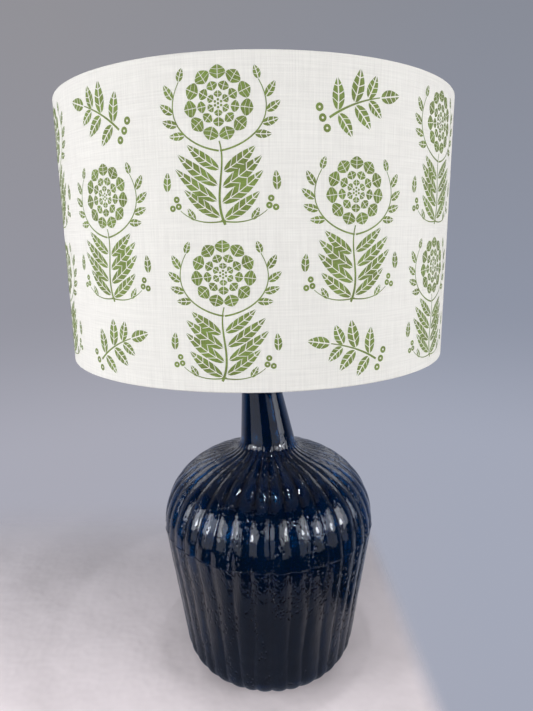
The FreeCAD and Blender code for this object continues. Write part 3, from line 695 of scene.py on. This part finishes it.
def leafPatches(base, degrees, long, wide, bend=0.12, veins=5, gap=0.07, blunt=1.0, ribGap=0.35):
    # leaves as strips between side veins. Each leaf has a bent midrib; its half width is a sine of the way
    # along; a strip runs from midrib to edge and sweeps forward. Arrays hold one value for each leaf
    base = np.reshape(base, (-1, 1, 1, 1, 1, 2))
    angle, long, wide, bend = (np.broadcast_to(np.reshape(value, (-1, 1, 1, 1, 1)), (len(base), 1, 1, 1, 1))
                               for value in (np.radians(degrees), long, wide, bend))
    thirds = np.linspace(0, 1, 4)
    side, strip, step, out = (axis[None] for axis in np.ix_([-1, 1], range(veins), thirds, thirds))
    start = (strip + gap + step * (1 - 2 * gap)) / veins
    along = start + printSetup["veinSweep"] * out * (1 - start) * np.minimum(1, 4 * start + 0.25)
    half = wide / 2 * np.sin(math.pi * np.clip(along, 0, 1) ** (0.8 * blunt)) ** 0.8
    across = side * (ribGap + out * np.maximum(half - ribGap, 0.02))
    x = along * long - 2 * bend * across * along
    y = bend * long * along ** 2 + across
    return (base + swung(x, y, angle)).reshape(-1, 4, 4, 2)


def stemPatches(poles, wide, pieces=8):
    # tapering ribbons along cubic curves, given as arrays of four poles each
    ribbons = []
    for four, width in zip(poles, wide):
        middle = bezier(four, np.linspace(0, 1, pieces * 3 + 1))
        side = leftOf(middle) * np.linspace(width, width * 0.45, len(middle))[:, None] / 2
        ribbon = middle[:, None] + side[:, None] * np.linspace(-1, 1, 4)[None, :, None]
        ribbons += [ribbon[3 * index:3 * index + 4] for index in range(pieces)]
    return np.array(ribbons)


def ringPatches(centres, inner, outer):
    # rings of ink in four quarters, each a grid of angle by radius
    centres = np.reshape(centres, (-1, 1, 1, 1, 2))
    angle = ((np.arange(4)[:, None] + np.linspace(0, 1, 4)) * turn / 4).reshape(1, 4, 4, 1)
    reach = inner + (outer - inner) * np.linspace(0, 1, 4).reshape(1, 1, 1, 4)
    return (centres + about(reach, angle)).reshape(-1, 4, 4, 2)


def placed(patches, place, degrees=0, size=1.0, flip=False):
    # patches mirrored, sized, turned and moved, in that order
    x, y = patches[..., 0] * (-1 if flip else 1) * size, patches[..., 1] * size
    return swung(x, y, math.radians(degrees)) + place


petalRings = (  # petals, where they begin and end, width, all as shares of the radius, degrees of turn, veins
    (11, 0.62, 1.0, 0.45, 0, 3), (9, 0.35, 0.61, 0.31, 20, 2), (6, 0.15, 0.34, 0.23, 0, 2),
)


def flowerHead(centre, radius):
    # rings of petals, each veined, round a dotted eye
    parts = []
    for count, begin, end, width, shift, veins in petalRings:
        angle = np.arange(count) * 360 / count + shift + 90
        parts.append(leafPatches(centre + radius * begin * about(1, np.radians(angle)), angle, radius * (end - begin),
                                 radius * width, 0.0, veins=veins, gap=0.05, blunt=1.25, ribGap=0.28))
    eye = centre + radius * 0.10 * about(1, np.radians(np.arange(6) * 60 + 30))
    parts.append(ringPatches(np.concatenate([[centre], eye]), 0.02, radius * 0.035))
    return np.concatenate(parts)


def bigSprig():
    # about 94 by 114 millimetres before it is sized: one flower over a curved stem, leaves in pairs, a leafy twig
    # round each side of the flower, and low shoots with berries
    stem = [(-3, -57), (7, -36), (-6, -16), (0, 4)]
    spots = bezier(stem, [0.09, 0.28, 0.47, 0.66])
    long, wide = np.array([35, 41, 39, 31]), np.array([9.4, 9.8, 9.8, 9.2])
    parts = [stemPatches([stem], [2.1]),
             leafPatches(spots + (1.4, 0), 28, long, wide * 0.94, 0.15),
             leafPatches(spots + (-1.4, -1.5), 152, long * 0.97, wide, -0.15),
             flowerHead((0, 30), 26.5)]
    twig = np.array([(0.5, -3), (22, 0), (47, 18), (30, 46)])
    shoot = np.array([(-2, -54), (12, -56.5), (24, -55), (34, -46)])
    for side in (1, -1):
        across = (side, 1)
        parts += [stemPatches([twig * across, shoot * across - (1.5, 0)], [1.4, 1.2], 6),
                  leafPatches(bezier(twig * across, [0.43, 0.57, 0.71, 0.85, 1.0]),
                              90 - side * np.array([98, 80, 62, 40, -12]), [13, 13, 13, 13, 10], [6, 6, 6, 6, 5.4],
                              0.12 * side, veins=3),
                  leafPatches([(22 * side - 1.5, -53.4), (43 * side, -32)], [90 - side * 38, 90 - side * 2], [11, 15],
                              [5, 6.4], 0.1 * side, veins=3)]
        berries = [shoot[3] * across + (side * out - 1.5, rise) for out, rise in ((1.5, 3.2), (6.6, 1.8), (3.0, 8.4))]
        parts.append(ringPatches(berries, 0.7, 2.5))
    return np.concatenate(parts)


def smallSprig():
    # about 40 millimetres before it is sized: a short stem with seven leaves and three berries
    stem = [(-15, -9), (-6, -2), (5, 2), (13, 4)]
    spots = bezier(stem, [0.15, 0.45, 0.72])
    parts = [stemPatches([stem], [1.2], 5),
             leafPatches(spots + (0, 0.6), [88, 74, 62], [15, 16, 12], [6.5, 7, 6], 0.14, veins=4),
             leafPatches(spots + (0.5, -0.6), [-42, -36, -30], [13, 14, 11], [6, 6.5, 5.5], -0.14, veins=4),
             leafPatches([(13.5, 4)], [14], [13], [6.5], 0.0, veins=4),
             ringPatches([(-18.5, -9.5), (-20.5, -4.8), (-15.8, -14)], 0.6, 2.0)]
    return np.concatenate(parts)


def shadePrint(setup, shade):
    # the flat pattern wrapped round the drum: the way along it over the radius is the angle
    big, small = bigSprig(), smallSprig()
    width = turn * shade["radius"] / setup["columns"]
    middle = setup["middleHeight"]
    patches = []
    for column in range(setup["columns"]):
        x, beat = column * width, column % 4
        if beat in (0, 2):
            patches += [placed(big, (x, height), 0, setup["bigSize"], flip=(beat == 2) ^ (height > middle))
                        for height in setup["bigHeights"]]
        else:
            patches.append(placed(big, (x, middle), 0, setup["bigSize"], flip=beat == 3))
            patches += [placed(small, (x, height), degrees, setup["smallSize"], flip=beat == flipped)
                        for height, degrees, flipped in zip(setup["smallHeights"], (4, -4), (1, 3))]
    patches = np.concatenate(patches)
    # a patch that is laid out clockwise is turned over, so that all of them face outwards
    first, second = patches[:, 3, 0] - patches[:, 0, 0], patches[:, 0, 3] - patches[:, 0, 0]
    clockwise = first[:, 0] * second[:, 1] - first[:, 1] * second[:, 0] < 0
    patches[clockwise] = patches[clockwise, :, ::-1]
    angle = math.radians(setup["start"]) + patches[..., 0] / shade["radius"]
    # over the raised overlap the ink is raised as well, and a little way past its edges
    off = np.abs((angle - turn / 4 + math.pi) % turn - math.pi) * shade["radius"]
    raised = shade["overlapRise"] * np.clip((shade["overlap"] / 2 + 4.5 - off) / 1.5, 0, 1)
    height = (shade["low"] + patches[..., 1]) * mm
    points = roundAxis((shade["radius"] + setup["lift"] + raised) * mm, angle, height)
    one = gridFaces(4, 4, closedColumns=False)[:, ::-1]  # turned over as well, because its rows run up
    faces = (one[None] + 16 * np.arange(len(patches))[:, None, None]).reshape(-1, 4)
    flat = np.stack([angle * shade["radius"] * mm, height], axis=-1).reshape(-1, 2)
    return newMesh("shadePrint", points, faces, flat[faces.ravel()])


inkSetup = {
    "sockets": {"Roughness": 0.75, "Sheen Weight": 0.1, "Sheen Roughness": 0.6, "Specular IOR Level": 0.3},
    "deep": (0.138, 0.186, 0.032), "full": (0.190, 0.276, 0.048),
    "thin": (0.50, 0.56, 0.25), "thinning": 0.36,  # where the threads stand proud, and how much of it shows
}


def inkMaterial(setup):
    # one green ink on linen: its depth drifts, and it is thinner where the threads stand proud
    material, tree, shader = newMaterial("greenInk", setup["sockets"])
    uv, weave = threadsOf(tree)
    wash = spread(noise(scaled(uv, (70, 70, 1)), 1.0, 3.0, 0.6), 0.36, 0.66)
    green = mixColour(wash, setup["deep"], setup["full"])
    thin = spread(weave["Tone"], 0.1, 0.62, 0.0, setup["thinning"])
    feed(shader, **{"Base Color": mixColour(thin, green, setup["thin"])})
    bumped(shader, weave["Height"], *linenSetup["relief"])
    return material


printMesh = shadePrint(printSetup, shadeSetup)
addPiece("shadePrint", printMesh, "shade", inkMaterial(inkSetup), "shade_linen")
print("print made", len(printMesh.polygons), "quads")

# spider

spiderSetup = {
    "bore": 20.3, "rim": 30, "low": 426.8, "high": 428.4,
    "armRadius": 1.4, "armLevel": 120, "armBend": 40, "ringFace": 194.9, "ringLevel": 405.1,
    "arms": 3, "firstArm": 90,
}


def armPath(setup):
    # level from the plate, then a bend, then straight down to the ring
    start = np.array([setup["rim"] - setup["armRadius"], setup["high"] - setup["armRadius"]])
    bend = start + (setup["armLevel"], 0)
    end = np.array([setup["ringFace"], setup["ringLevel"]])
    drop, run, radius = bend[1] - end[1], end[0] - bend[0], setup["armBend"]
    angle = math.asin(radius / math.hypot(run, drop - radius)) + math.atan2(drop - radius, run)
    turns = np.linspace(0, angle, 12)
    arc = bend + radius * np.stack([np.sin(turns), np.cos(turns) - 1], axis=1)
    return np.concatenate([np.linspace(start, bend, 6)[:-1], arc, np.linspace(arc[-1], end, 6)[1:]])


def wireGrid(path, radius, direction, sides=14):
    # a round wire along a path that lies in an upright plane, with both ends closed to a point
    side = leftOf(path)
    path, side = (np.concatenate([row[:1], row, row[-1:]]) for row in (path, side))
    radii = np.concatenate([[0], np.full(len(path) - 2, radius), [0]])[:, None, None]
    plane = np.array([(math.cos(direction), math.sin(direction), 0), (0, 0, 1)])  # outward and up
    across = np.array([-math.sin(direction), math.cos(direction), 0])
    centre, normal = path @ plane, side @ plane
    angles = wholeTurn(sides)
    rim = np.cos(angles)[None, :, None] * across + np.sin(angles)[None, :, None] * normal[:, None]
    return (centre[:, None] + radii * rim) * mm, gridFaces(len(path), sides)


def spiderMesh(setup):
    # a rectangle carried round the axis, and round wires that leave it at even angles
    plate = band(setup["bore"], setup["rim"], setup["low"], setup["high"], 0.4) * mm
    parts = [(latheGrid(plate, wholeTurn(96)), gridFaces(len(plate), 96, closedRows=True))]
    path = armPath(setup)
    for index in range(setup["arms"]):
        direction = math.radians(setup["firstArm"] + 360 * index / setup["arms"])
        parts.append(wireGrid(path, setup["armRadius"], direction))
    return welded(newMesh("shadeSpider", *stacked(*parts)))


addFinished("shadeSpider", spiderMesh(spiderSetup), "shade", "whiteWire")
print("spider made")

# lampholder, bulb and fittings

sharpAngle = math.radians(28)  # edges that turn by more than this are rounded


def refined(name, width, body, look):
    # a copy of a CAD piece with its flats put together again and its edges rounded
    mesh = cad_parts[spelled(name)].data.copy()
    mesh.name = name
    welded(mesh, near=1e-6, flatWithin=1)
    mesh.shade_smooth()
    mesh.set_sharp_from_angle(angle=sharpAngle)
    piece = addFinished(name, mesh, body, look)
    bevel = piece.modifiers.new("edges", "BEVEL")
    bevel.width, bevel.segments = width * mm, 2
    bevel.limit_method, bevel.angle_limit = "ANGLE", sharpAngle
    bevel.harden_normals = True


# runs of an outline, as radius and height in millimetres, up on the outside: one with an edge radius is rounded, and
# one with 0 is a straight that is cut into fine steps. A thread is its low and high end, its pitch and its depth; a
# bulge is how far the outline is moved out, and between which heights
threadedSetup = {
    "holderSkirt": {
        "runs": ((0.5, (18, 420.5), (20, 420.5), (20, 424.5), (25, 424.5), (25, 426.7), (20, 426.7), (20, 428)),
                 (0, (20, 428.2), (20, 446.6)),
                 (0.5, (20, 446.8), (20, 448.5), (15, 448.5), (15, 446.5), (18, 446.5), (18, 420.5))),
        "step": 0.25, "thread": (428.4, 446.4, 3.0, 0.7), "bulge": (0, 0, 0)},
    "screwShell": {
        "runs": ((0.6, (7.5, 421.5), (13.9, 421.5), (13.9, 424)),
                 (0, (13.9, 424.1), (13.9, 443.9)),
                 (0.1, (13.9, 444), (13.9, 445), (13.4, 445), (13.4, 444)),
                 (0, (13.4, 443.9), (13.4, 424.1)),
                 (0.5, (13.4, 424), (13.4, 422), (7.5, 422))),
        "step": 0.3, "thread": (424.0, 444.0, 3.62, 0.9), "bulge": (0.9, 424, 444.9)},
    "bulbCap": {
        "runs": ((0.5, (0, 428.6), (9.7, 428.6), (13.1, 432.0), (13.1, 433)),
                 (0, (13.1, 433.1), (13.1, 446.5)),
                 (0.3, (13.1, 446.6), (13.1, 447.6), (0, 447.6))),
        "step": 0.3, "thread": (432.0, 446.6, 3.62, 1.0), "bulge": (0, 0, 0)},
}


def straight(start, end, step):
    # even points from one height to another, about a step apart
    return np.linspace(start, end, max(2, int(abs(end[1] - start[1]) / step)))


def threadedMesh(name):
    # a lathe whose radius follows a cosine along a helix between two heights, and fades out at both
    setup = threadedSetup[name]
    low, high, pitch, depth = setup["thread"]
    bulge, bulgeLow, bulgeHigh = setup["bulge"]
    profile = np.concatenate([rounded(run, edge) if edge else straight(*run, setup["step"])
                              for edge, *run in setup["runs"]])
    if np.allclose(profile[0], profile[-1]):
        profile = profile[:-1]
    height = profile[:, 1:2]
    profile[:, 0:1] += bulge * ((height > bulgeLow) & (height < bulgeHigh))
    fade = np.clip(np.minimum(height - low, high - height) / (0.35 * pitch), 0, 1)
    wave = 0.5 - 0.5 * np.cos(turn * height / pitch - wholeTurn(96))
    return lathe(name, profile, push=-depth * fade * wave * mm)


bulbSetup = {
    "low": 447.6, "throat": (14.2, 453.6), "pulls": ((14.8, 466), (27.2, 474)), "rim": (27.9, 493),
    "globe": 30, "centre": 504, "globeFrom": -21.5,  # degrees below level
}


def bulbBodyMesh(name):
    # straight throat, then a hollow curve out to the globe, and back in under it
    throat, rim, low = bulbSetup["throat"], bulbSetup["rim"], bulbSetup["low"]
    curve = bezier([throat, *bulbSetup["pulls"], rim], np.linspace(0, 1, 24))
    foot = rounded([(0, low), (throat[0], low), (throat[0], throat[1] - 0.6)], 0.8)
    return lathe(name, np.concatenate([foot, curve, [(rim[0] - 0.5, rim[1]), (0, rim[1])]]))


def globeMesh(name):
    # an arc of a circle from the rim up to the pole, carried round the axis
    radius, level = bulbSetup["rim"][0] - 0.4, bulbSetup["rim"][1] + 0.05
    pitch = np.radians(np.linspace(bulbSetup["globeFrom"], 90, 40))
    sphere = about(bulbSetup["globe"], pitch) + (0, bulbSetup["centre"])
    sphere[-1, 0] = 0
    return lathe(name, np.concatenate([[(0, level), (radius, level)], sphere]))


# outline as radius and height, radius of its edges, columns; then the axis it lies along, at a height
turnedSetup = {
    "bulbBead": (((0, 426), (4.6, 426), (9.5, 428.5), (0, 428.55)), 0.8, 96, "Z", 0),
    "bulbTip": (((0, 425), (3.4, 425), (4.6, 426), (0, 426)), 0.4, 48, "Z", 0),
    "neckCap": (((5.1, 377.5), (23.4, 377.5), (23.4, 367.5), (24.4, 367.5), (24.4, 378.5), (5.1, 378.5)),
                0.45, 96, "Z", 0),
    "cordBush": (((3.6, 8.5), (5.0, 8.5), (5.0, 12.2), (6.8, 12.2), (6.8, 13.7), (3.6, 13.7)), 0.5, 64, "Y", 391.5),
    "switchBar": (((0, -21.5), (2.6, -21.5), (2.6, 26.5), (0, 26.5)), 1.0, 48, "X", 409),
}


def turnedMesh(name):
    # an outline with rounded edges, carried round its axis
    outline, edge, columns, axis, height = turnedSetup[name]
    mesh = lathe(name, rounded(outline, edge, closed=outline[0][0] > 0), columns)
    return mesh if axis == "Z" else laidAlong(mesh, axis, height)


for name, makeMesh, body, look in (
        ("holderSkirt", threadedMesh, "base", "whitePlastic"),
        ("screwShell", threadedMesh, "base", "contactBrass"),
        ("bulbCap", threadedMesh, "bulb", "nickelCap"),
        ("bulbBody", bulbBodyMesh, "bulb", "bulbPlastic"),
        ("bulbGlobe", globeMesh, "bulb", "opalGlass"),
        ("bulbBead", turnedMesh, "bulb", "blackBead"),
        ("bulbTip", turnedMesh, "bulb", "nickelCap"),
        ("neckCap", turnedMesh, "base", "antiqueBrass"),
        ("cordBush", turnedMesh, "base", "whitePlastic"),
        ("switchBar", turnedMesh, "switch_bar", "whitePlastic")):
    addFinished(name, makeMesh(name), body, look)

refined("entryCollar", 0.5, "base", "antiqueBrass")
refined("capNut", 0.4, "base", "antiqueBrass")
refined("holderBase", 0.5, "base", "whitePlastic")
refined("shadeLockRing", 0.35, "lock_ring", "whitePlastic")
refined("footPads", 0.3, "base", "clearSilicone")

for look, nodes in (
        ("blackRubber", ("neck_bung", "neck_gasket")),
        ("zincSteel", ("bung_washer", "bung_nut", "stem_tube", "holder_nipple")),
        ("steatite", ("holder_core",)),
        ("contactBrass", ("terminal_screws", "centre_contact", "switch_leaf")),
        ("whiteWire", ("top_ring", "bottom_ring"))):
    for node in nodes:
        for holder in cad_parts[node].material_slots:
            holder.material = finish[look]
print("fittings made")

# floor, lamps and world

lightSetup = {
    "target": (0, 0, 0.36),
    "distance": 1.2,
    "colour": (0.985, 0.995, 1.05),
    # degrees to the side and up, width, height, radiance
    "softboxes": ((-45, 15, 1.15, 0.52, 2.35), (45, 15, 1.15, 0.52, 2.45),  # windows on both sides
                  (-45, -9, 1.15, 0.45, 0.75), (45, -9, 1.15, 0.45, 0.6),  # light from below for the heel
                  (-70, 9, 0.60, 0.60, 3.3), (70, 9, 0.60, 0.60, 2.2),  # edges of the bottle
                  (-52, 5, 0.20, 0.18, 20.0), (52, 7, 0.20, 0.18, 18.0),  # bright patches in the windows
                  (-140, 25, 0.6, 0.9, 1.0), (140, 25, 0.6, 0.9, 1.0),  # from behind
                  # a weak one overhead, and two small bright ones for the shoulder
                  (0, 90, 1.2, 1.2, 0.03), (14, 79, 0.05, 0.05, 200.0), (10, 32, 0.06, 0.045, 60.0)),
}

for index, (side, rise, width, height, radiance) in enumerate(lightSetup["softboxes"]):
    data = bpy.data.lights.new(f"softbox{index}", "AREA")
    data.shape = "RECTANGLE"
    data.size, data.size_y = width, height
    data.energy = radiance * math.pi * width * height
    data.color = lightSetup["colour"]
    lamp = addObject(f"softbox{index}", data)
    side, rise = math.radians(side), math.radians(rise)
    out = Vector((math.sin(side) * math.cos(rise), -math.cos(side) * math.cos(rise), math.sin(rise)))
    lamp.location = Vector(lightSetup["target"]) + out * lightSetup["distance"]
    lamp.rotation_euler = out.to_track_quat("Z", "Y").to_euler()
    lamp.visible_camera = False

floorSetup = {
    "radius": 1.2, "rings": 14, "height": -0.0002,
    # painted light: front and back colours make the one cloth paler in front and darker behind
    "front": (0.95, 0.86, 0.855), "back": (0.64, 0.60, 0.62),
    # painted reflection: what gloss sees of the cloth, dark before the bottle and paler beside it
    "mirrored": (0.26, 0.28, 0.35), "mirroredBeside": (0.60, 0.56, 0.58), "beside": (0.08, 0.18),
    # where the pale cloth starts and stops, in metres from left to right and from front to back
    "across": (-0.75, -0.55, 0.176, 0.212), "deep": (-0.262, -0.236, 0.18, 0.44),
}


def addFloor(setup):
    reach = np.linspace(0, setup["radius"], setup["rings"])[::-1]
    points = roundAxis(reach[:, None], wholeTurn(96), setup["height"])
    floor = addObject("floor", welded(newMesh("floor", points, gridFaces(*points.shape[:2]))))
    material, tree, shader = newMaterial("paleFloor", {"Roughness": 0.9, "Specular IOR Level": 0.1})
    where = objectSpace(tree)
    axes = axesOf(where)
    solid = 1.0
    for axis, (gone, full, fullEnd, goneEnd) in enumerate((setup["across"], setup["deep"])):
        solid = times(solid, spread(axes[axis], gone, full, smooth=True))
        solid = times(solid, spread(axes[axis], goneEnd, fullEnd, smooth=True))
    cloth = noise(where, 9.0, 4.0, 0.6)
    bumped(shader, noise(where, 14.0, 3.0, 0.55), 0.006, 0.6)
    # painted light: the cloth is paler in front and darker behind
    pale = mixColour(spread(axes[1], -0.12, 0.2), setup["front"], setup["back"])
    seen = mixColour(spread(cloth, 0.35, 0.65, 0.0, 0.07), pale, (0, 0, 0))
    # painted reflection: glossy rays see the cloth dark before the bottle and paler beside it
    beside = spread(maths("ABSOLUTE", axes[0]), *setup["beside"], smooth=True)
    mirrored = mixColour(beside, setup["mirrored"], setup["mirroredBeside"])
    glossy = addNode(tree, "LightPath").outputs["Is Glossy Ray"]
    feed(shader, **{"Base Color": mixColour(glossy, seen, mirrored), "Alpha": solid})
    floor.data.materials.append(material)


addFloor(floorSetup)

worldSetup = {
    "ambient": (0.19, 0.192, 0.20),
    # the backdrop on the left and on the right, over, behind and under the lamp
    "top": ((0.288, 0.284, 0.308), (0.248, 0.262, 0.308)),
    "level": ((0.302, 0.304, 0.352), (0.274, 0.298, 0.372)),
    "low": ((0.400, 0.402, 0.468), (0.368, 0.392, 0.480)),
    "room": (0.012, 0.016, 0.026),
}


def addWorld(setup):
    # the camera and clear glass see a soft grey-blue backdrop; gloss sees it behind the lamp, and a dark room in front
    world = bpy.data.worlds.new("studio")
    scene.world = world
    world.use_nodes = True
    tree = world.node_tree
    paths = addNode(tree, "LightPath").outputs
    axes = axesOf(addNode(tree, "TexCoord").outputs["Generated"])
    side = spread(axes[0], -0.3, 0.35)
    top, level, low = (mixColour(side, *setup[band]) for band in ("top", "level", "low"))
    upper = mixColour(spread(axes[2], -0.1, 0.35), level, top)
    backdrop = mixColour(spread(axes[2], -0.1, -0.36, smooth=True), upper, low)
    gloss = mixColour(spread(axes[1], 0.0, 0.6, smooth=True), setup["room"], backdrop)
    seen = maths("MAXIMUM", paths["Is Camera Ray"], paths["Is Transmission Ray"])
    colour = mixColour(seen, mixColour(paths["Is Glossy Ray"], setup["ambient"], gloss), backdrop)
    feed(tree.nodes["Background"], Color=colour)


addWorld(worldSetup)
scene.view_settings.view_transform = "Standard"
print("studio ready")
